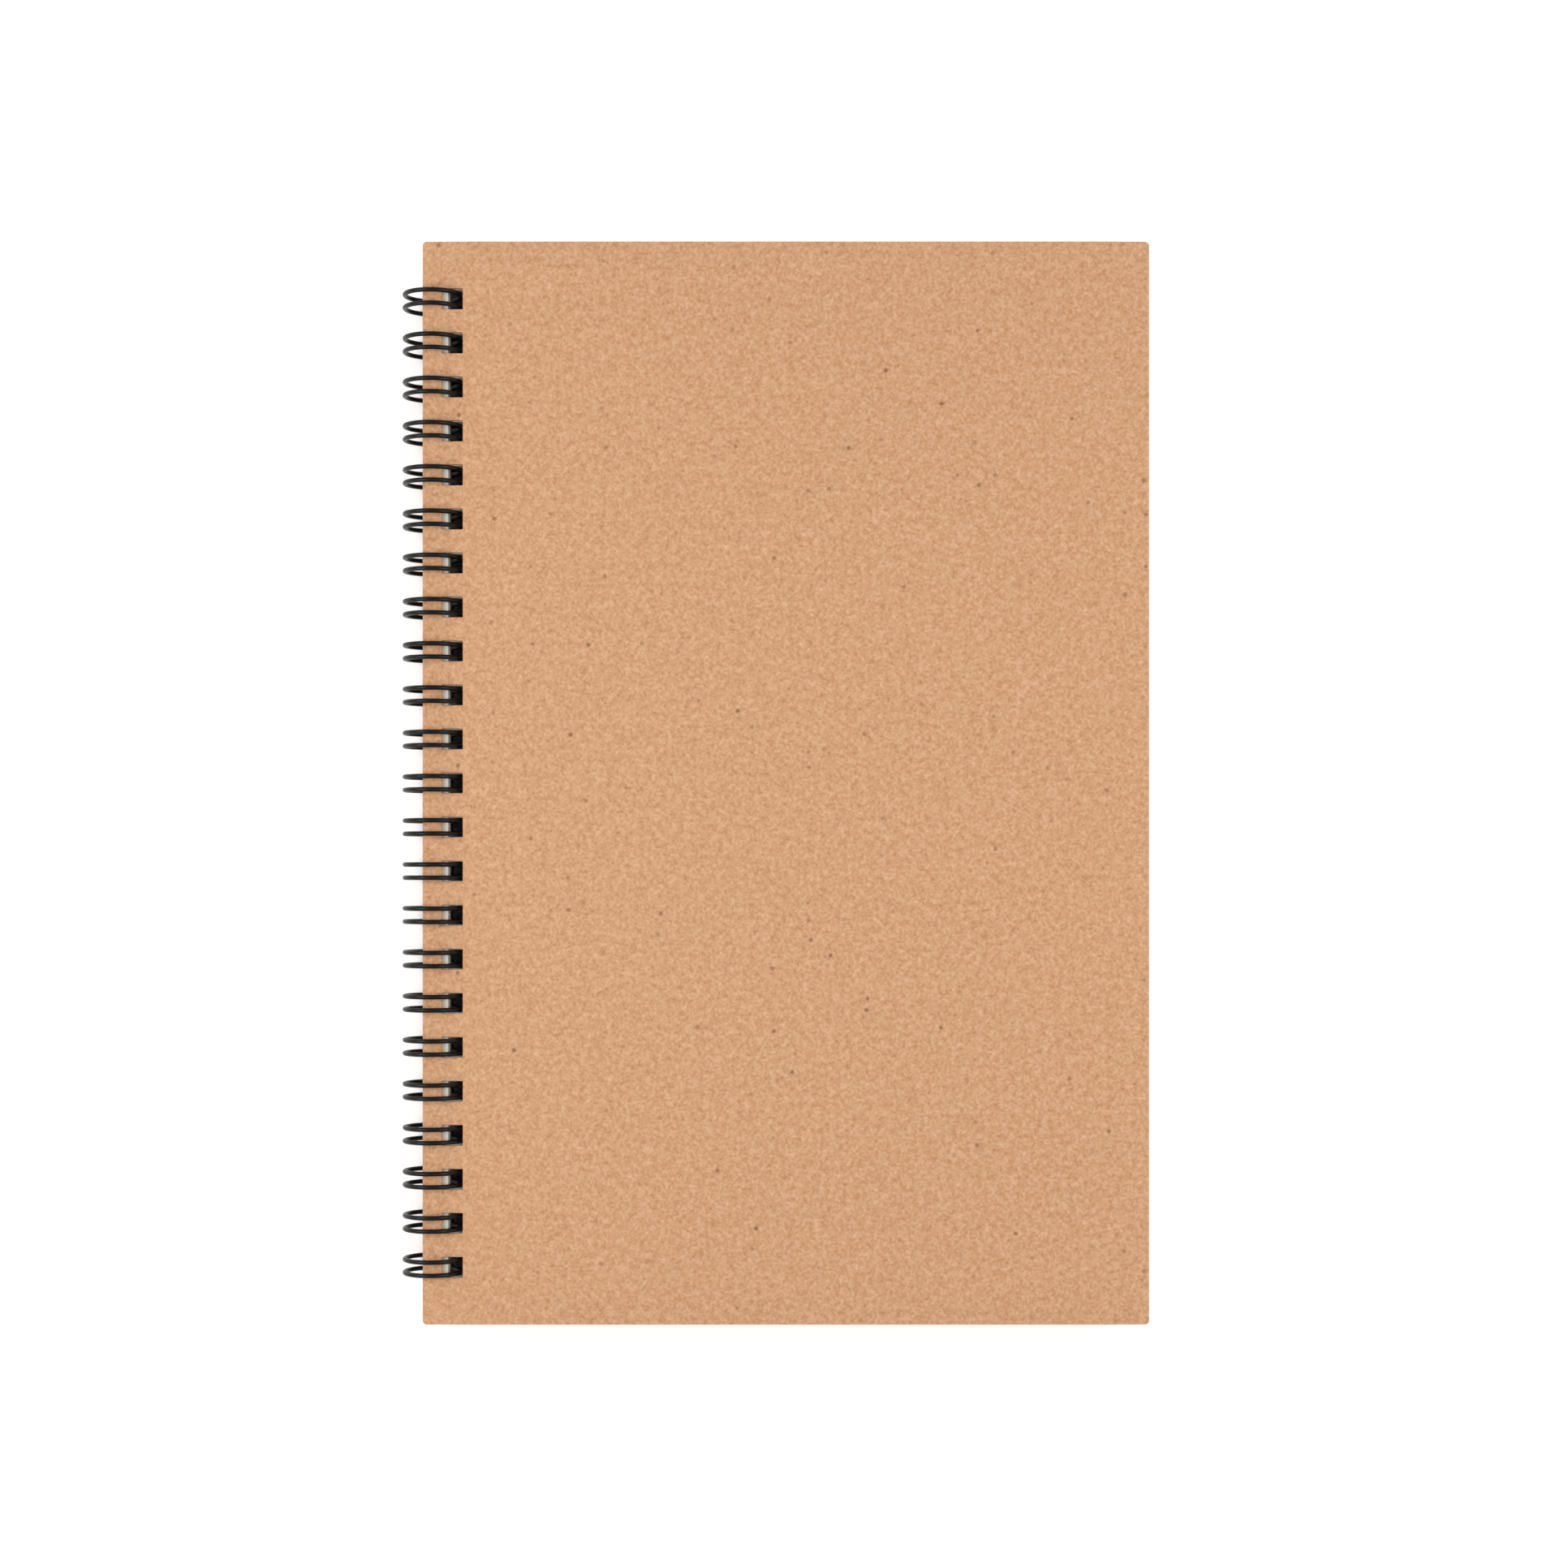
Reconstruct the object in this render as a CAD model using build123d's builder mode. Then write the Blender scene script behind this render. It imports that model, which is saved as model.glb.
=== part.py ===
"""A wire-bound sketchbook: two kraft board covers, a block of loose sheets and one twin-loop wire.

X runs from the spine to the fore edge, Y towards the head, Z up. All sizes are in millimetres.
The origin is under the middle of the whole book, on the surface that it lies on.
"""
from build123d import *
import math
import os

os.makedirs("parts", exist_ok=True)

# Covers
cover_width = 139.7
cover_height = 208.3
cover_thickness = 0.85
cover_corner_radius = 0.8
cover_hole_size = 4.0
cover_hole_margin = 3.7
cover_end_margin = 8.0

# Sheets
sheet_count = 32
sheet_thickness = 0.13
sheet_air_gap = 0.005
sheet_hole_size = 4.0
sheet_hole_offset = -0.25
sheet_spine_gap = 0.15
sheet_fore_edge_inset = 0.5
sheet_head_inset = 0.3
sheet_drift_x = 0.11
sheet_drift_y = 0.14

# Twin-loop wire
wire_diameter = 0.9
ring_outer_diameter = 11.8
ring_offset = 0.748
prong_spacing = 2.55
loop_pitch = 25.4 / 3
wire_tail = 1.6
seam_root_angle = 270
seam_tip_angle = -48

# Places that follow from the sizes
sheet_step = sheet_thickness + sheet_air_gap
sheet_block = sheet_count * sheet_step
book_thickness = sheet_block + 2 * cover_thickness
ring_line_radius = (ring_outer_diameter - wire_diameter) / 2
cover_level = (sheet_block + cover_thickness) / 2
wire_reach = math.sqrt(ring_line_radius ** 2 - cover_level ** 2)
ring_inset = cover_hole_margin + cover_hole_size / 2 + ring_offset - wire_reach
ring_overhang = round(ring_outer_diameter / 2 - ring_inset, 3)
overall_width = cover_width + ring_overhang
spine_edge_x = ring_overhang - overall_width / 2
fore_edge_x = overall_width / 2
cover_centre_x = (spine_edge_x + fore_edge_x) / 2
ring_centre_x = spine_edge_x - ring_overhang + ring_outer_diameter / 2
ring_centre_z = ring_outer_diameter / 2
back_cover_z = ring_centre_z - book_thickness / 2
first_sheet_z = back_cover_z + cover_thickness + sheet_air_gap / 2
front_cover_z = back_cover_z + cover_thickness + sheet_block
sheet_edge_x = ring_centre_x + sheet_spine_gap
sheet_width = fore_edge_x - sheet_fore_edge_inset - sheet_edge_x
sheet_height = cover_height - 2 * sheet_head_inset
sheet_hole_margin = ring_line_radius + sheet_hole_offset - sheet_hole_size / 2 - sheet_spine_gap
loop_count = int((cover_height - cover_hole_size - 2 * cover_end_margin) // loop_pitch) + 1
golden_angle = math.pi * (3 - math.sqrt(5))


def punched_holes(first_edge_x, hole_size, middle_y=0.0):
    """The row of square holes along the spine, one for each twin loop."""
    with Locations((first_edge_x + hole_size / 2, middle_y)):
        with GridLocations(1, loop_pitch, 1, loop_count):
            Rectangle(hole_size, hole_size, mode=Mode.SUBTRACT)


# Covers
with BuildPart() as back_cover:
    with BuildSketch(Plane.XY.offset(back_cover_z)):
        with Locations((cover_centre_x, 0)):
            RectangleRounded(cover_width, cover_height, cover_corner_radius)
        punched_holes(spine_edge_x + cover_hole_margin, cover_hole_size)
    extrude(amount=cover_thickness)

with BuildPart() as front_cover:
    with BuildSketch(Plane.XY.offset(front_cover_z)):
        with Locations((cover_centre_x, 0)):
            RectangleRounded(cover_width, cover_height, cover_corner_radius)
        punched_holes(spine_edge_x + cover_hole_margin, cover_hole_size)
    extrude(amount=cover_thickness)

# Sheets, numbered from the front of the book to the back. Each lies a little off its
# neighbours, as loose sheets do on a wire that is thinner than their holes.
sheets = []
for number in range(1, sheet_count + 1):
    sheet_z = first_sheet_z + (sheet_count - number) * sheet_step
    edge_x = sheet_edge_x + sheet_drift_x * math.cos(number * golden_angle)
    middle_y = sheet_drift_y * math.sin(number * golden_angle)
    with BuildPart() as sheet:
        with BuildSketch(Plane.XY.offset(sheet_z)):
            with Locations((edge_x + sheet_width / 2, middle_y)):
                Rectangle(sheet_width, sheet_height)
            punched_holes(edge_x + sheet_hole_margin, sheet_hole_size, middle_y)
        extrude(amount=sheet_thickness)
    sheet.part.label = f"sheet_{number:02d}"
    sheets.append(sheet.part)


def on_ring(angle, y, ahead=0.0):
    """A point of the wire's centre line, or one that far ahead of it on the ring's tangent."""
    turn = math.radians(angle)
    x = ring_centre_x + ring_line_radius * math.cos(turn) - ahead * math.sin(turn)
    z = ring_centre_z + ring_line_radius * math.sin(turn) + ahead * math.cos(turn)
    return (x, y, z)


# One wire, folded into fingers of two prongs and curled clockwise, seen from the foot of the
# book, until each closed tip meets its own root. The seam lies under the back cover.
tip_radius = prong_spacing / 2
root_radius = (loop_pitch - prong_spacing) / 2
half_curl_angle = (seam_root_angle + seam_tip_angle) / 2
first_loop_y = loop_pitch * (loop_count - 1) / 2
last_prong_y = -first_loop_y - tip_radius

with BuildPart() as wire_binding:
    with BuildLine() as wire_line:
        Line(on_ring(seam_root_angle, first_loop_y + tip_radius, wire_tail),
             on_ring(seam_root_angle, first_loop_y + tip_radius))
        for loop in range(loop_count):
            loop_y = first_loop_y - loop * loop_pitch
            head_y = loop_y + tip_radius
            foot_y = loop_y - tip_radius
            ThreePointArc(on_ring(seam_root_angle, head_y),
                          on_ring(half_curl_angle, head_y),
                          on_ring(seam_tip_angle, head_y))
            ThreePointArc(on_ring(seam_tip_angle, head_y),
                          on_ring(seam_tip_angle, loop_y, -tip_radius),
                          on_ring(seam_tip_angle, foot_y))
            ThreePointArc(on_ring(seam_tip_angle, foot_y),
                          on_ring(half_curl_angle, foot_y),
                          on_ring(seam_root_angle, foot_y))
            if loop < loop_count - 1:
                ThreePointArc(on_ring(seam_root_angle, foot_y),
                              on_ring(seam_root_angle, loop_y - loop_pitch / 2, root_radius),
                              on_ring(seam_root_angle, foot_y - 2 * root_radius))
        Line(on_ring(seam_root_angle, last_prong_y),
             on_ring(seam_root_angle, last_prong_y, wire_tail))
    with BuildSketch(Plane(origin=wire_line.line @ 0, z_dir=wire_line.line % 0)):
        Circle(wire_diameter / 2)
    sweep()

wire_length = sum(edge.length for edge in wire_line.edges())
wire_section = math.pi * wire_diameter ** 2 / 4
print("wire length", round(wire_length, 1), "swept share",
      round(wire_binding.part.volume / (wire_section * wire_length), 5))
print("ring centre x", round(ring_centre_x, 4), "z", round(ring_centre_z, 4))
print("back cover underside", round(back_cover_z, 4), "front cover top",
      round(front_cover_z + cover_thickness, 4))

back_cover.part.label = "back_cover"
front_cover.part.label = "front_cover"
wire_binding.part.label = "wire_binding"

for piece in [back_cover.part, front_cover.part, wire_binding.part] + sheets:
    export_step(piece, f"parts/{piece.label}.step")
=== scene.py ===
"""Looks of a wire-bound sketchbook, modelled around its packed construction."""
import math

import bpy
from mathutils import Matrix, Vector


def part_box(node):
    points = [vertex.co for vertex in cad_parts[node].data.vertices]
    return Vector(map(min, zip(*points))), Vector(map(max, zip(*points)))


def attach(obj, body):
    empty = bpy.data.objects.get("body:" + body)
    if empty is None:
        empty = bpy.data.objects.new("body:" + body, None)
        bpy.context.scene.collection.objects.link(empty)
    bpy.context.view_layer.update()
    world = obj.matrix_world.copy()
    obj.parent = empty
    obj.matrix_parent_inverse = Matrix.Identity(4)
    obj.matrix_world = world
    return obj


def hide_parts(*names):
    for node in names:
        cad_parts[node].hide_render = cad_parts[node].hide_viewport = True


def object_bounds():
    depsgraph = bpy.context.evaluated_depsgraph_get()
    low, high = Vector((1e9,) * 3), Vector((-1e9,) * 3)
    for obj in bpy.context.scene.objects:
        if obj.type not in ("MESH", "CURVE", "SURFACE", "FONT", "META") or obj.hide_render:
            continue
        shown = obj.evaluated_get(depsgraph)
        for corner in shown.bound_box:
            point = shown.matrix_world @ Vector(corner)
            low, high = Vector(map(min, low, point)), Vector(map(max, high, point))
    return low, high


bl_info = {
    "name": "Wire-bound sketchbook",
    "version": (1, 0, 0),
    "blender": (4, 5, 0),
    "location": "3D View > Sidebar > Sketchbook",
    "description": "Dresses a sketchbook with kraft board covers, loose sheets and a twin-loop wire",
    "category": "Object",
}

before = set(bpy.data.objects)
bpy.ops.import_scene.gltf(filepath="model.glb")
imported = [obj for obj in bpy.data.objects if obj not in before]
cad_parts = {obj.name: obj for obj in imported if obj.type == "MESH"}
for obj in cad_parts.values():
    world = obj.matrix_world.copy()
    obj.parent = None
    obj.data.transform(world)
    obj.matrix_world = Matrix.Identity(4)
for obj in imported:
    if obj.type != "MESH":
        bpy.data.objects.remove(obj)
cad_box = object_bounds()

MM = 0.001
WIRE_SIDES = 14
RING_STEPS = 56
TURN_STEPS = 14
SENSOR_WIDTH = 36
SHEETS = sorted(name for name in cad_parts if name.startswith("sheet_"))


# Sizes and colours that a user would change


class BoardSettings(bpy.types.PropertyGroup):
    """The two kraft board covers."""

    corner_radius: bpy.props.FloatProperty(
        name="Corner radius", description="Rounding of the four corners, seen from above",
        default=0.8 * MM, min=0, unit="LENGTH")
    worn_edge: bpy.props.FloatProperty(
        name="Worn edge", description="Rounding of the board's cut edges",
        default=0.14 * MM, min=0, unit="LENGTH")
    hole_size: bpy.props.FloatProperty(
        name="Hole size", description="Side of each square punched hole",
        default=4.0 * MM, min=0, unit="LENGTH")
    hole_margin: bpy.props.FloatProperty(
        name="Hole margin", description="Board left between the spine edge and the holes",
        default=3.7 * MM, min=0, unit="LENGTH")
    pulp_dark: bpy.props.StringProperty(
        name="Dark pulp", description="Darkest of the cloudy pulp", default="#AF6C35")
    pulp_light: bpy.props.StringProperty(
        name="Light pulp", description="Lightest of the cloudy pulp", default="#F8CBA2")
    fleck: bpy.props.StringProperty(
        name="Fleck", description="Bark flecks in the pulp", default="#7C5231")
    edge_dark: bpy.props.StringProperty(
        name="Dark edge", description="Darkest layer on the cut sides", default="#8F6A4A")
    edge_light: bpy.props.StringProperty(
        name="Light edge", description="Lightest layer on the cut sides", default="#D9AE88")


class PaperSettings(bpy.types.PropertyGroup):
    """The drawing sheets."""

    pulp_dark: bpy.props.StringProperty(
        name="Dark pulp", description="Darkest of the paper's clouds", default="#EFE8D6")
    pulp_light: bpy.props.StringProperty(
        name="Light pulp", description="Lightest of the paper's clouds", default="#F8F3E6")
    # painted shade: a near-black colour for the walls of the punched holes, standing in for the deep shadow
    # in them (the real walls are paper-coloured); the three lengths below place this painted shade
    painted_hole_shade: bpy.props.StringProperty(
        name="Punched wall", description="Walls of the punched holes, dark so that the holes read as black",
        default="#3A352E")
    row_inset: bpy.props.FloatProperty(
        name="Row inset", description="From the cover's spine edge to the middle of the dark walls",
        default=7.1 * MM, min=0, unit="LENGTH")
    row_reach: bpy.props.FloatProperty(
        name="Row reach", description="How far the dark walls reach to either side of their middle",
        default=3.5 * MM, min=0, unit="LENGTH")
    row_half_length: bpy.props.FloatProperty(
        name="Row half length", description="How far the dark walls reach from the book's middle",
        default=100 * MM, min=0, unit="LENGTH")


class WireSettings(bpy.types.PropertyGroup):
    """The twin-loop wire."""

    diameter: bpy.props.FloatProperty(
        name="Wire diameter", description="Diameter of the coated wire",
        default=0.9 * MM, min=0, unit="LENGTH")
    pitch: bpy.props.FloatProperty(
        name="Pitch", description="From one twin loop to the next, three to the inch",
        default=25.4 / 3 * MM, min=0, unit="LENGTH")
    prong_spacing: bpy.props.FloatProperty(
        name="Prong spacing", description="Between the two prongs of a loop",
        default=2.55 * MM, min=0, unit="LENGTH")
    loops: bpy.props.IntProperty(
        name="Loops", description="Twin loops along the spine", default=23, min=1)
    root_angle: bpy.props.FloatProperty(
        name="Root angle", description="Where the loops leave the seam, up from the fore edge",
        default=math.radians(270), subtype="ANGLE")
    tip_angle: bpy.props.FloatProperty(
        name="Tip angle", description="Where the loops' closed tips begin, up from the fore edge",
        default=math.radians(-48), subtype="ANGLE")
    tail: bpy.props.FloatProperty(
        name="Tail", description="Length of each cut end", default=1.6 * MM, min=0, unit="LENGTH")
    colour: bpy.props.StringProperty(
        name="Coating", description="Colour of the nylon coating", default="#0B0B0C")


class StageSettings(bpy.types.PropertyGroup):
    """Floor, lights and camera."""

    camera_height: bpy.props.FloatProperty(
        name="Camera height", description="From the front cover straight up to the camera",
        default=0.5, min=0, unit="LENGTH")
    view_width: bpy.props.FloatProperty(
        name="View width", description="Width that the camera takes in at the front cover",
        default=301.5 * MM, min=0, unit="LENGTH")
    lamp_power: bpy.props.FloatProperty(
        name="Lamp power", description="Power of each softbox, in watts", default=1.2, min=0)
    lamp_bias: bpy.props.FloatProperty(
        name="Lamp bias", description="Share by which the spine side's softbox is the stronger",
        default=0.1, min=0)
    lamp_reach: bpy.props.FloatProperty(
        name="Lamp reach", description="Each softbox's place, this far out and this far up",
        default=0.38, min=0, unit="LENGTH")
    lamp_width: bpy.props.FloatProperty(
        name="Lamp width", description="Each softbox across the book", default=0.25, min=0,
        unit="LENGTH")
    lamp_length: bpy.props.FloatProperty(
        name="Lamp length", description="Each softbox along the spine", default=0.3, min=0,
        unit="LENGTH")
    room_light: bpy.props.FloatProperty(
        name="Room light", description="Strength of the light from all round", default=0.42, min=0)
    floor_glow: bpy.props.FloatProperty(
        name="Floor glow", description="Light that the open floor gives off itself", default=0.35,
        min=0)
    floor_colour: bpy.props.StringProperty(
        name="Floor", description="Colour of the floor", default="#FCFCFC")
    # painted shade: the near-black colour that ambient occlusion mixes into the floor under the book,
    # standing in for the shadow there
    painted_floor_shade: bpy.props.StringProperty(
        name="Covered floor", description="Colour of the floor under the book", default="#080808")
    aim_across: bpy.props.FloatProperty(
        name="Aim across", description="The camera's place across the front cover, from its spine edge",
        default=0.4974)
    aim_down: bpy.props.FloatProperty(
        name="Aim down", description="The camera's place down the front cover, from its head",
        default=0.5825)
    view_shift: bpy.props.FloatProperty(
        name="View shift", description="How far the view is shifted up, as a share of its width",
        default=0.0564)


# Small helpers


def linear(hex_colour):
    """An sRGB hex colour as linear RGBA."""
    channels = [int(hex_colour[i:i + 2], 16) / 255 for i in (1, 3, 5)]
    return [c / 12.92 if c <= 0.04045 else ((c + 0.055) / 1.055) ** 2.4 for c in channels] + [1.0]


def add_node(tree, kind, links=None, **settings):
    """Adds a shader node with its settings, and sets or links its inputs by name."""
    node = tree.nodes.new(kind)
    for name, value in settings.items():
        setattr(node, name, value)
    for socket, value in (links or {}).items():
        if isinstance(value, bpy.types.NodeSocket):
            tree.links.new(value, node.inputs[socket])
        else:
            node.inputs[socket].default_value = value
    return node


def start_material(name, roughness, ior):
    """A material with its shader, and the surface's own place in millimetres."""
    material = bpy.data.materials.new(name)
    material.use_nodes = True
    tree = material.node_tree
    shader = tree.nodes["Principled BSDF"]
    shader.inputs["Roughness"].default_value = roughness
    shader.inputs["IOR"].default_value = ior
    place = add_node(tree, "ShaderNodeTexCoord").outputs["Object"]
    scaled = add_node(tree, "ShaderNodeMapping", {"Vector": place, "Scale": (1000, 1000, 1000)})
    return material, tree, shader, scaled.outputs["Vector"]


def deselect_all():
    """Nothing selected, so that an operator acts on the new piece alone."""
    if bpy.context.object and bpy.context.object.mode != "OBJECT":
        bpy.ops.object.mode_set(mode="OBJECT")
    bpy.ops.object.select_all(action="DESELECT")


def select_parts(piece, kind, test):
    """Selects the vertices, edges or faces that pass the test, in edit mode."""
    bpy.ops.mesh.select_all(action="DESELECT")
    bpy.ops.mesh.select_mode(type=kind)
    bpy.ops.object.mode_set(mode="OBJECT")
    parts = {"VERT": piece.data.vertices, "EDGE": piece.data.edges, "FACE": piece.data.polygons}[kind]
    for part in parts:
        part.select = test(part)
    bpy.ops.object.mode_set(mode="EDIT")


def settle(piece, body):
    """Applies the piece's place to its mesh and hands it to its body."""
    bpy.ops.object.transform_apply(location=True, rotation=True, scale=True)
    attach(piece, body)


# Materials


def kraft_board(board):
    """Kraft-faced greyboard: unbleached pulp, matt and cloudy, with small bark flecks."""
    material, tree, shader, place = start_material("kraft board", 0.82, 1.45)
    # pulp clouds about 1.3 mm across, with a 0.6 mm grain over them that is turned off the axes
    clouds = add_node(tree, "ShaderNodeTexNoise", {"Vector": place, "Scale": 0.8, "Detail": 3.0,
                                                   "Roughness": 0.55})
    askew = add_node(tree, "ShaderNodeMapping", {"Vector": place, "Rotation": (0.4, 0.3, 0.6)})
    grain = add_node(tree, "ShaderNodeTexNoise", {"Vector": askew.outputs["Vector"], "Scale": 1.7,
                                                  "Detail": 1.5, "Roughness": 0.6})
    broad = add_node(tree, "ShaderNodeMath", {0: clouds.outputs["Fac"], 1: 0.64, 2: -0.22},
                     operation="MULTIPLY_ADD")
    amount = add_node(tree, "ShaderNodeMath", {0: grain.outputs["Fac"], 1: 0.8, 2: broad.outputs["Value"]},
                      operation="MULTIPLY_ADD")
    pulp = add_node(tree, "ShaderNodeMix", {"Factor": amount.outputs["Value"]}, data_type="RGBA")
    pulp.inputs[6].default_value = linear(board.pulp_dark)
    pulp.inputs[7].default_value = linear(board.pulp_light)
    # bark flecks up to 0.6 mm in radius in half of the cells, most of them faint
    cells = add_node(tree, "ShaderNodeTexVoronoi", {"Vector": place, "Scale": 0.28, "Randomness": 1.0})
    near = add_node(tree, "ShaderNodeMapRange", {"Value": cells.outputs["Distance"], "From Min": 0.07,
                                                  "From Max": 0.16, "To Min": 1.0, "To Max": 0.0})
    chosen = add_node(tree, "ShaderNodeSeparateColor", {"Color": cells.outputs["Color"]})
    strength = add_node(tree, "ShaderNodeMapRange", {"Value": chosen.outputs["Red"], "From Min": 0.5,
                                                      "From Max": 1.0, "To Min": 0.0, "To Max": 0.75})
    fleck = add_node(tree, "ShaderNodeMath", {0: near.outputs["Result"], 1: strength.outputs["Result"]},
                     operation="MULTIPLY")
    surface = add_node(tree, "ShaderNodeMix", {"Factor": fleck.outputs["Value"]}, data_type="RGBA")
    tree.links.new(pulp.outputs[2], surface.inputs[6])
    surface.inputs[7].default_value = linear(board.fleck)
    tree.links.new(surface.outputs[2], shader.inputs["Base Color"])
    # felt-side tooth, 0.35 mm fibres
    tooth = add_node(tree, "ShaderNodeTexNoise",
                     {"Vector": place, "Scale": 2.8, "Detail": 4.0, "Roughness": 0.6})
    bump = add_node(tree, "ShaderNodeBump",
                    {"Height": tooth.outputs["Fac"], "Strength": 0.35, "Distance": 0.00004})
    tree.links.new(bump.outputs["Normal"], shader.inputs["Normal"])
    return material


def cut_board_edge(board):
    """The guillotined side of the board: pressed layers of pulp, darker and drier than the face."""
    material, tree, shader, place = start_material("cut board edge", 0.9, 1.45)
    flat = add_node(tree, "ShaderNodeMapping", {"Vector": place, "Scale": (0.5, 0.5, 7.0)})
    layers = add_node(tree, "ShaderNodeTexNoise",
                      {"Vector": flat.outputs["Vector"], "Scale": 1.0, "Detail": 4.0,
                       "Roughness": 0.65})
    pulp = add_node(tree, "ShaderNodeMix", {"Factor": layers.outputs["Fac"]}, data_type="RGBA")
    pulp.inputs[6].default_value = linear(board.edge_dark)
    pulp.inputs[7].default_value = linear(board.edge_light)
    tree.links.new(pulp.outputs[2], shader.inputs["Base Color"])
    bump = add_node(tree, "ShaderNodeBump",
                    {"Height": layers.outputs["Fac"], "Strength": 0.6, "Distance": 0.00006})
    tree.links.new(bump.outputs["Normal"], shader.inputs["Normal"])
    return material


def drawing_paper(paper):
    """Uncoated drawing paper: warm white, matt, with a fine tooth, and painted shade on the walls of the
    punched holes.
    """
    material, tree, shader, place = start_material("drawing paper", 0.88, 1.45)
    clouds = add_node(tree, "ShaderNodeTexNoise",
                      {"Vector": place, "Scale": 0.5, "Detail": 3.0, "Roughness": 0.6})
    pulp = add_node(tree, "ShaderNodeMix", {"Factor": clouds.outputs["Fac"]}, data_type="RGBA")
    pulp.inputs[6].default_value = linear(paper.pulp_dark)
    pulp.inputs[7].default_value = linear(paper.pulp_light)
    # painted shade: the upright walls in the row of punched holes get a near-black colour in place of the
    # paper's own, so that the holes read as black from above, as if in deep shadow
    spot = add_node(tree, "ShaderNodeSeparateXYZ", {"Vector": place})
    facing = add_node(tree, "ShaderNodeSeparateXYZ",
                      {"Vector": add_node(tree, "ShaderNodeTexCoord").outputs["Normal"]})
    upright = add_node(tree, "ShaderNodeMath",
                       {0: facing.outputs["Z"], 1: 0.0, 2: 0.5}, operation="COMPARE")
    low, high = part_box("front_cover")
    row_x = (low.x + paper.row_inset) / MM
    near_row = add_node(tree, "ShaderNodeMath",
                        {0: spot.outputs["X"], 1: row_x, 2: paper.row_reach / MM}, operation="COMPARE")
    near_middle = add_node(tree, "ShaderNodeMath",
                           {0: spot.outputs["Y"], 1: 0.0, 2: paper.row_half_length / MM},
                           operation="COMPARE")
    in_row = add_node(tree, "ShaderNodeMath",
                      {0: near_row.outputs["Value"], 1: near_middle.outputs["Value"]},
                      operation="MULTIPLY")
    # mask of the painted shade: upright faces inside the row of holes
    punched = add_node(tree, "ShaderNodeMath", {0: in_row.outputs["Value"], 1: upright.outputs["Value"]},
                       operation="MULTIPLY")
    surface = add_node(tree, "ShaderNodeMix", {"Factor": punched.outputs["Value"]}, data_type="RGBA")
    tree.links.new(pulp.outputs[2], surface.inputs[6])
    surface.inputs[7].default_value = linear(paper.painted_hole_shade)
    tree.links.new(surface.outputs[2], shader.inputs["Base Color"])
    tooth = add_node(tree, "ShaderNodeTexNoise", {"Vector": place, "Scale": 3.2, "Detail": 4.0,
                                                  "Roughness": 0.6})
    bump = add_node(tree, "ShaderNodeBump",
                    {"Height": tooth.outputs["Fac"], "Strength": 0.25, "Distance": 0.00003})
    tree.links.new(bump.outputs["Normal"], shader.inputs["Normal"])
    return material


def coated_wire(wire):
    """Nylon-coated steel wire: black, with a soft gloss and the coating's faint orange peel."""
    material, tree, shader, place = start_material("nylon-coated steel wire", 0.38, 1.5)
    shader.inputs["Base Color"].default_value = linear(wire.colour)
    shader.inputs["Specular IOR Level"].default_value = 0.3
    peel = add_node(tree, "ShaderNodeTexNoise",
                    {"Vector": place, "Scale": 2.2, "Detail": 2.0, "Roughness": 0.5})
    bump = add_node(tree, "ShaderNodeBump",
                    {"Height": peel.outputs["Fac"], "Strength": 0.3, "Distance": 0.00003})
    tree.links.new(bump.outputs["Normal"], shader.inputs["Normal"])
    return material


def stage_floor(stage):
    """A plain matt sweep with painted shade: where ambient occlusion is deep, under the book, its base
    colour turns near-black and its glow goes out.
    """
    material, tree, shader, place = start_material("studio sweep", 0.95, 1.4)
    shader.inputs["Specular IOR Level"].default_value = 0.0
    # painted shade: ambient occlusion decides how far the floor's colour and glow fall to black under the
    # book
    open_sky = add_node(tree, "ShaderNodeAmbientOcclusion", {"Distance": 0.02})
    lit = add_node(tree, "ShaderNodeMapRange", {"Value": open_sky.outputs["AO"], "From Min": 0.12,
                                                "From Max": 0.4})
    sweep = add_node(tree, "ShaderNodeMix", {"Factor": lit.outputs["Result"]}, data_type="RGBA")
    sweep.inputs[6].default_value = linear(stage.painted_floor_shade)
    sweep.inputs[7].default_value = linear(stage.floor_colour)
    tree.links.new(sweep.outputs[2], shader.inputs["Base Color"])
    shader.inputs["Emission Color"].default_value = (1, 1, 1, 1)
    glow = add_node(tree, "ShaderNodeMath", {0: lit.outputs["Result"], 1: stage.floor_glow},
                    operation="MULTIPLY")
    tree.links.new(glow.outputs["Value"], shader.inputs["Emission Strength"])
    return material


# Pieces


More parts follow.
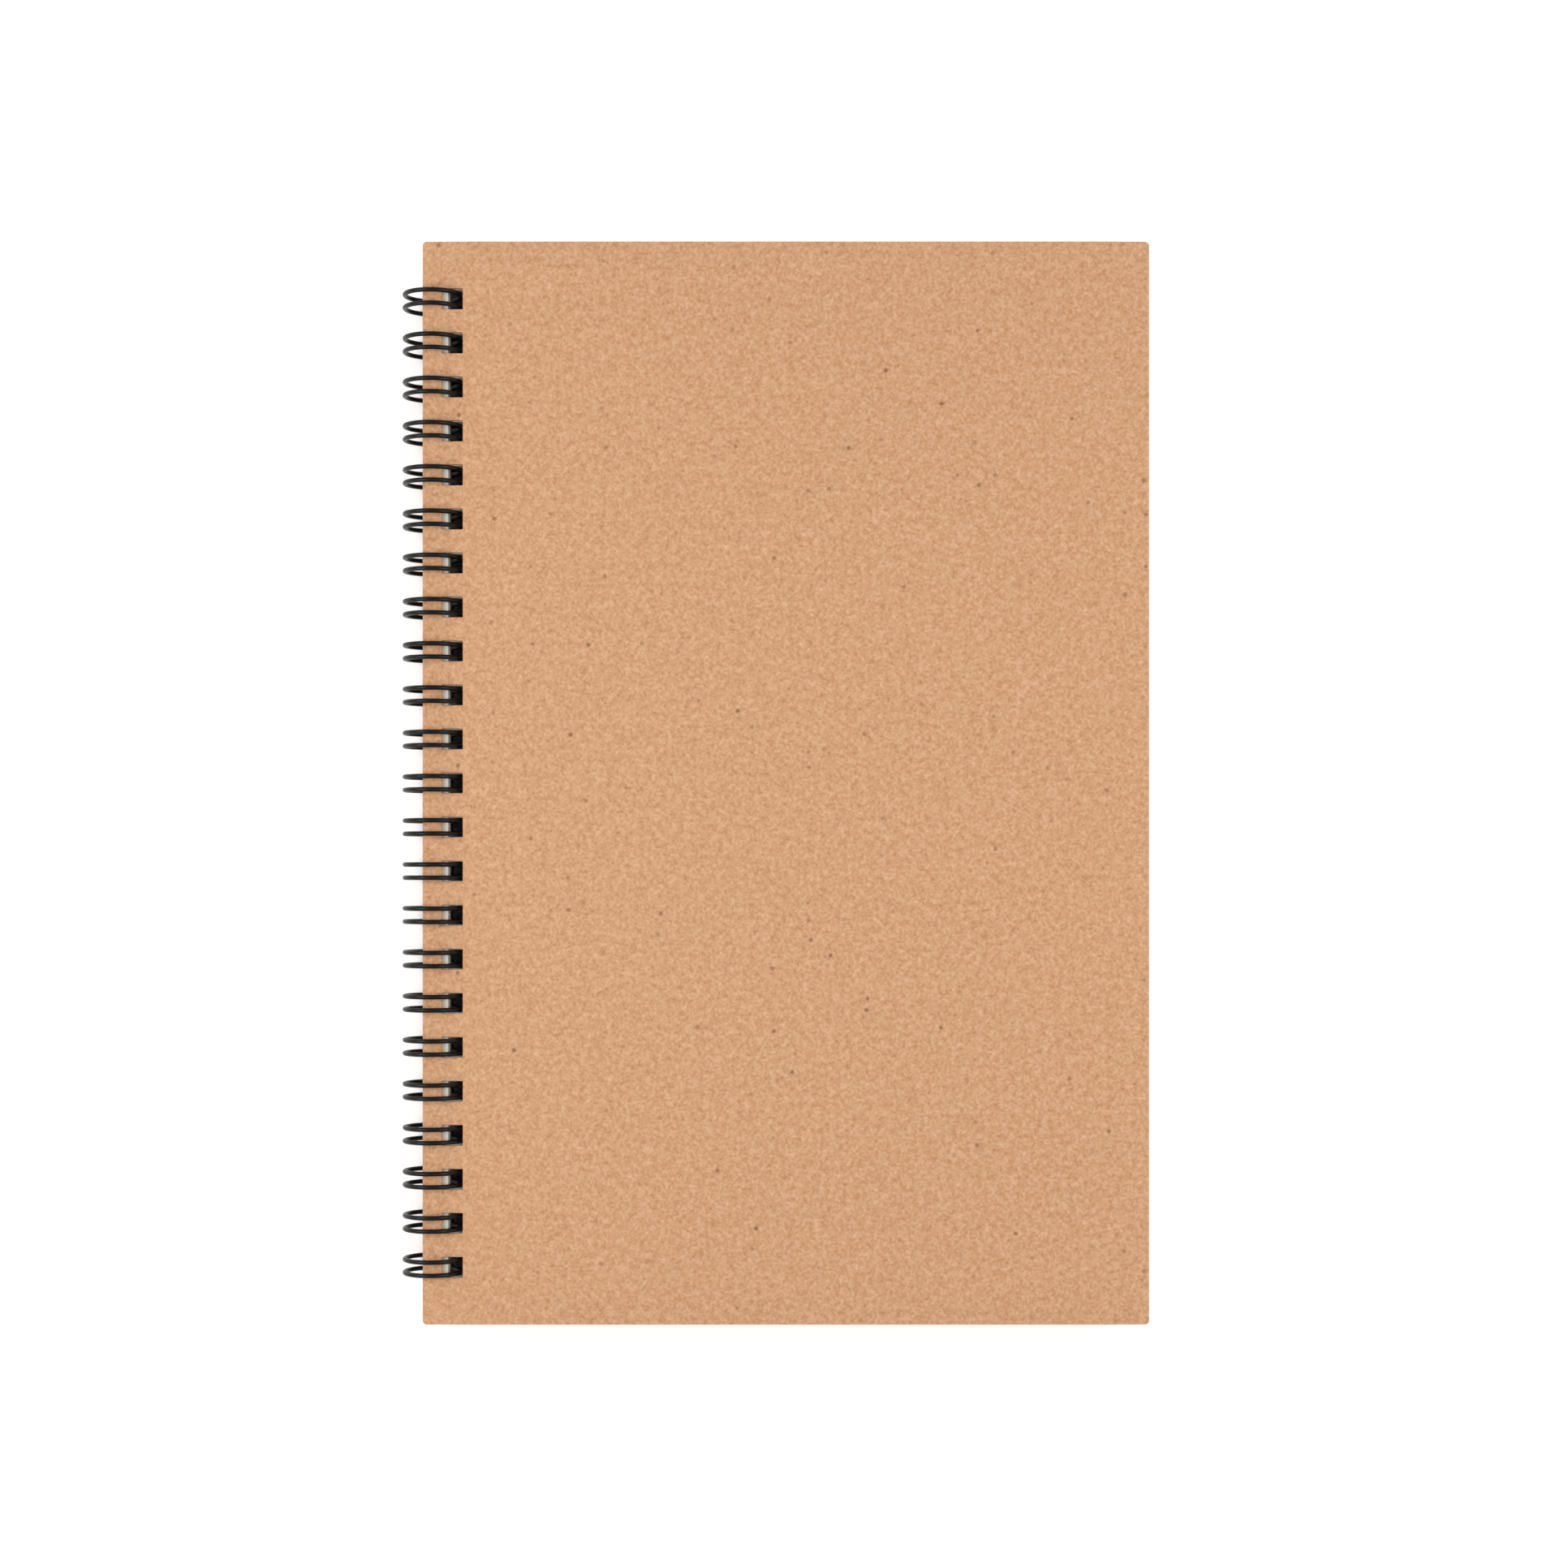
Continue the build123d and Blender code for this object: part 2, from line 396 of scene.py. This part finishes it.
def punched_board(node, body, name, board, wire):
    """One cover: a board with a rounded outline, square punched holes and softened cut edges."""
    low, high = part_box(node)
    size = high - low
    middle = (low + high) / 2
    deselect_all()
    bpy.ops.mesh.primitive_plane_add(size=1, location=(middle.x, middle.y, low.z))
    piece = bpy.context.object
    piece.name = name
    piece.scale = (size.x, size.y, 1)
    bpy.ops.object.transform_apply(location=True, rotation=True, scale=True)
    bpy.ops.object.mode_set(mode="EDIT")
    bpy.ops.mesh.select_all(action="SELECT")
    bpy.ops.mesh.bevel(affect="VERTICES", offset=board.corner_radius, segments=6)
    hole_low = low.x + board.hole_margin
    hole_high = hole_low + board.hole_size
    first_y = middle.y - wire.pitch * (wire.loops - 1) / 2
    centres = [first_y + wire.pitch * loop for loop in range(wire.loops)]
    for x in (hole_low, hole_high):
        bpy.ops.mesh.select_all(action="SELECT")
        bpy.ops.mesh.bisect(plane_co=(x, 0, 0), plane_no=(1, 0, 0))
    for y in centres:
        for side in (-0.5, 0.5):
            bpy.ops.mesh.select_all(action="SELECT")
            bpy.ops.mesh.bisect(plane_co=(0, y + side * board.hole_size, 0), plane_no=(0, 1, 0))

    def in_hole(face):
        across = hole_low < face.center.x < hole_high
        along = min(abs(face.center.y - y) for y in centres) < board.hole_size / 2
        return across and along

    select_parts(piece, "FACE", in_hole)
    bpy.ops.mesh.delete(type="FACE")
    bpy.ops.mesh.select_all(action="SELECT")
    bpy.ops.mesh.extrude_region_move(TRANSFORM_OT_translate={"value": (0, 0, size.z)})
    bpy.ops.mesh.select_all(action="SELECT")
    bpy.ops.mesh.normals_make_consistent(inside=False)
    bpy.ops.object.mode_set(mode="OBJECT")
    piece.data.materials.append(kraft_board(board))
    piece.data.materials.append(cut_board_edge(board))
    for face in piece.data.polygons:
        face.material_index = 0 if abs(face.normal.z) > 0.5 else 1
    soften = piece.modifiers.new("worn edge", "BEVEL")
    soften.width = board.worn_edge
    soften.segments = 3
    soften.limit_method = "ANGLE"
    soften.angle_limit = math.radians(60)
    soften.material = 0
    bpy.ops.object.modifier_apply(modifier=soften.name)
    bpy.ops.object.shade_smooth_by_angle(angle=math.radians(40))
    settle(piece, body)
    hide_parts(node)
    return piece


def spin_on(steps, angle, centre, axis):
    """Carries the selected end of the wire round an axis, by the right-hand rule."""
    bpy.ops.mesh.spin(steps=steps, angle=-angle, center=centre, axis=axis)


def twin_loop_wire(wire):
    """One continuous wire: each loop runs round the ring, turns at its tip, and runs back."""
    low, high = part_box("wire_binding")
    radius = (high.z - low.z) / 2
    line = radius - wire.diameter / 2
    centre = Vector((low.x + radius, 0, low.z + radius))
    tip_radius = wire.prong_spacing / 2
    first_y = (low.y + high.y) / 2 + wire.pitch * (wire.loops - 1) / 2
    last_y = first_y - wire.pitch * (wire.loops - 1)
    curl = wire.root_angle - wire.tip_angle

    def outward(angle):
        return Vector((math.cos(angle), 0, math.sin(angle)))

    def on_ring(angle, y):
        return centre + line * outward(angle) + Vector((0, y, 0))

    deselect_all()
    start = on_ring(wire.root_angle, first_y + tip_radius)
    end = on_ring(wire.root_angle, last_y - tip_radius)
    bpy.ops.mesh.primitive_circle_add(vertices=WIRE_SIDES, radius=wire.diameter / 2, location=start,
                                      rotation=(0, -wire.root_angle, 0))
    piece = bpy.context.object
    piece.name = "twin_loop_wire"
    bpy.ops.object.transform_apply(location=True, rotation=True, scale=True)
    bpy.ops.object.mode_set(mode="EDIT")
    bpy.ops.mesh.select_all(action="SELECT")
    spin_on(RING_STEPS, curl, centre, (0, 1, 0))
    spin_on(TURN_STEPS, -math.pi, on_ring(wire.tip_angle, first_y), outward(wire.tip_angle))
    spin_on(RING_STEPS, -curl, centre, (0, 1, 0))
    spin_on(TURN_STEPS, math.pi, on_ring(wire.root_angle, first_y - wire.pitch / 2),
            outward(wire.root_angle))
    bpy.ops.object.mode_set(mode="OBJECT")
    row = piece.modifiers.new("row of loops", "ARRAY")
    row.count = wire.loops
    row.use_relative_offset = False
    row.use_constant_offset = True
    row.constant_offset_displace = (0, -wire.pitch, 0)
    row.use_merge_vertices = True
    row.merge_threshold = 0.01 * MM
    bpy.ops.object.modifier_apply(modifier=row.name)
    # the last loop has no neighbour to turn to, so its turn becomes a cut end
    turn_faces = TURN_STEPS * WIRE_SIDES
    last_face = len(piece.data.polygons) - turn_faces
    bpy.ops.object.mode_set(mode="EDIT")
    select_parts(piece, "FACE", lambda face: face.index >= last_face)
    bpy.ops.mesh.delete(type="FACE")
    for cut in (start, end):
        select_parts(piece, "VERT", lambda vertex: (vertex.co - cut).length < wire.diameter * 0.51)
        bpy.ops.mesh.extrude_region_move(TRANSFORM_OT_translate={"value": (wire.tail, 0, 0)})
        bpy.ops.mesh.edge_face_add()
    bpy.ops.mesh.select_all(action="SELECT")
    bpy.ops.mesh.normals_make_consistent(inside=False)
    bpy.ops.object.mode_set(mode="OBJECT")
    bpy.ops.object.shade_smooth_by_angle(angle=math.radians(40))
    piece.data.materials.append(coated_wire(wire))
    settle(piece, "ring")
    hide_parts("wire_binding")
    return piece


class SKETCHBOOK_OT_covers(bpy.types.Operator):
    """Model the front and back covers"""

    bl_idname = "sketchbook.covers"
    bl_label = "Covers"

    def execute(self, context):
        scene = context.scene
        punched_board("back_cover", "back", "kraft_back_cover", scene.book_board, scene.book_wire)
        punched_board("front_cover", "front", "kraft_front_cover", scene.book_board, scene.book_wire)
        return {"FINISHED"}


class SKETCHBOOK_OT_sheets(bpy.types.Operator):
    """Give the loose sheets their paper"""

    bl_idname = "sketchbook.sheets"
    bl_label = "Sheets"

    def execute(self, context):
        paper = drawing_paper(context.scene.book_paper)
        for name in SHEETS:
            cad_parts[name].data.materials.clear()
            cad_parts[name].data.materials.append(paper)
        return {"FINISHED"}


class SKETCHBOOK_OT_wire(bpy.types.Operator):
    """Model the twin-loop wire"""

    bl_idname = "sketchbook.wire"
    bl_label = "Wire"

    def execute(self, context):
        twin_loop_wire(context.scene.book_wire)
        return {"FINISHED"}


class SKETCHBOOK_OT_stage(bpy.types.Operator):
    """Set up the floor, the lights and the camera"""

    bl_idname = "sketchbook.stage"
    bl_label = "Stage"

    def execute(self, context):
        stage = context.scene.book_stage
        low, high = cad_box
        deselect_all()
        bpy.ops.mesh.primitive_plane_add(size=6, location=(0, 0, low[2] - 0.01 * MM))
        floor = bpy.context.object
        floor.name = "floor"
        floor.data.materials.append(stage_floor(stage))
        cover_low, cover_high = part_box("front_cover")
        for side in (-1, 1):
            bpy.ops.object.light_add(type="AREA",
                                     location=(side * stage.lamp_reach, 0, stage.lamp_reach),
                                     rotation=(0, side * math.radians(45), 0))
            lamp = bpy.context.object
            lamp.name = "softbox"
            lamp.data.shape = "RECTANGLE"
            lamp.data.size = stage.lamp_width
            lamp.data.size_y = stage.lamp_length
            lamp.data.energy = stage.lamp_power * (1 - side * stage.lamp_bias)
        world = bpy.data.worlds.new("soft room")
        context.scene.world = world
        world.use_nodes = True
        world.node_tree.nodes["Background"].inputs["Color"].default_value = (1, 1, 1, 1)
        world.node_tree.nodes["Background"].inputs["Strength"].default_value = stage.room_light
        width = cover_high.x - cover_low.x
        height = cover_high.y - cover_low.y
        aim_x = cover_low.x + stage.aim_across * width
        aim_y = cover_high.y - stage.aim_down * height
        bpy.ops.object.camera_add(location=(aim_x, aim_y, cover_high.z + stage.camera_height))
        camera = bpy.context.object
        camera.data.sensor_width = SENSOR_WIDTH
        camera.data.lens = SENSOR_WIDTH * stage.camera_height / stage.view_width
        camera.data.shift_y = stage.view_shift
        camera.data.clip_start = 0.01
        context.scene.camera = camera
        context.scene.view_settings.view_transform = "Standard"
        return {"FINISHED"}


class SKETCHBOOK_PT_panel(bpy.types.Panel):
    """The sketchbook's pieces and settings."""

    bl_label = "Sketchbook"
    bl_idname = "SKETCHBOOK_PT_panel"
    bl_space_type = "VIEW_3D"
    bl_region_type = "UI"
    bl_category = "Sketchbook"

    def draw(self, context):
        for operator in OPERATORS:
            self.layout.operator(operator.bl_idname)
        for name in SETTINGS:
            settings = getattr(context.scene, name)
            for key in settings.bl_rna.properties.keys():
                if key not in ("rna_type", "name"):
                    self.layout.prop(settings, key)


SETTINGS = {"book_board": BoardSettings, "book_paper": PaperSettings, "book_wire": WireSettings,
            "book_stage": StageSettings}
OPERATORS = (SKETCHBOOK_OT_stage, SKETCHBOOK_OT_covers, SKETCHBOOK_OT_sheets, SKETCHBOOK_OT_wire)


def register():
    for name, group in SETTINGS.items():
        bpy.utils.register_class(group)
        setattr(bpy.types.Scene, name, bpy.props.PointerProperty(type=group))
    for operator in OPERATORS:
        bpy.utils.register_class(operator)
    bpy.utils.register_class(SKETCHBOOK_PT_panel)


def unregister():
    bpy.utils.unregister_class(SKETCHBOOK_PT_panel)
    for operator in reversed(OPERATORS):
        bpy.utils.unregister_class(operator)
    for name, group in SETTINGS.items():
        delattr(bpy.types.Scene, name)
        bpy.utils.unregister_class(group)


def main():
    register()
    bpy.ops.sketchbook.stage()
    bpy.ops.sketchbook.covers()
    bpy.ops.sketchbook.sheets()
    bpy.ops.sketchbook.wire()


if __name__ == "__main__":
    main()
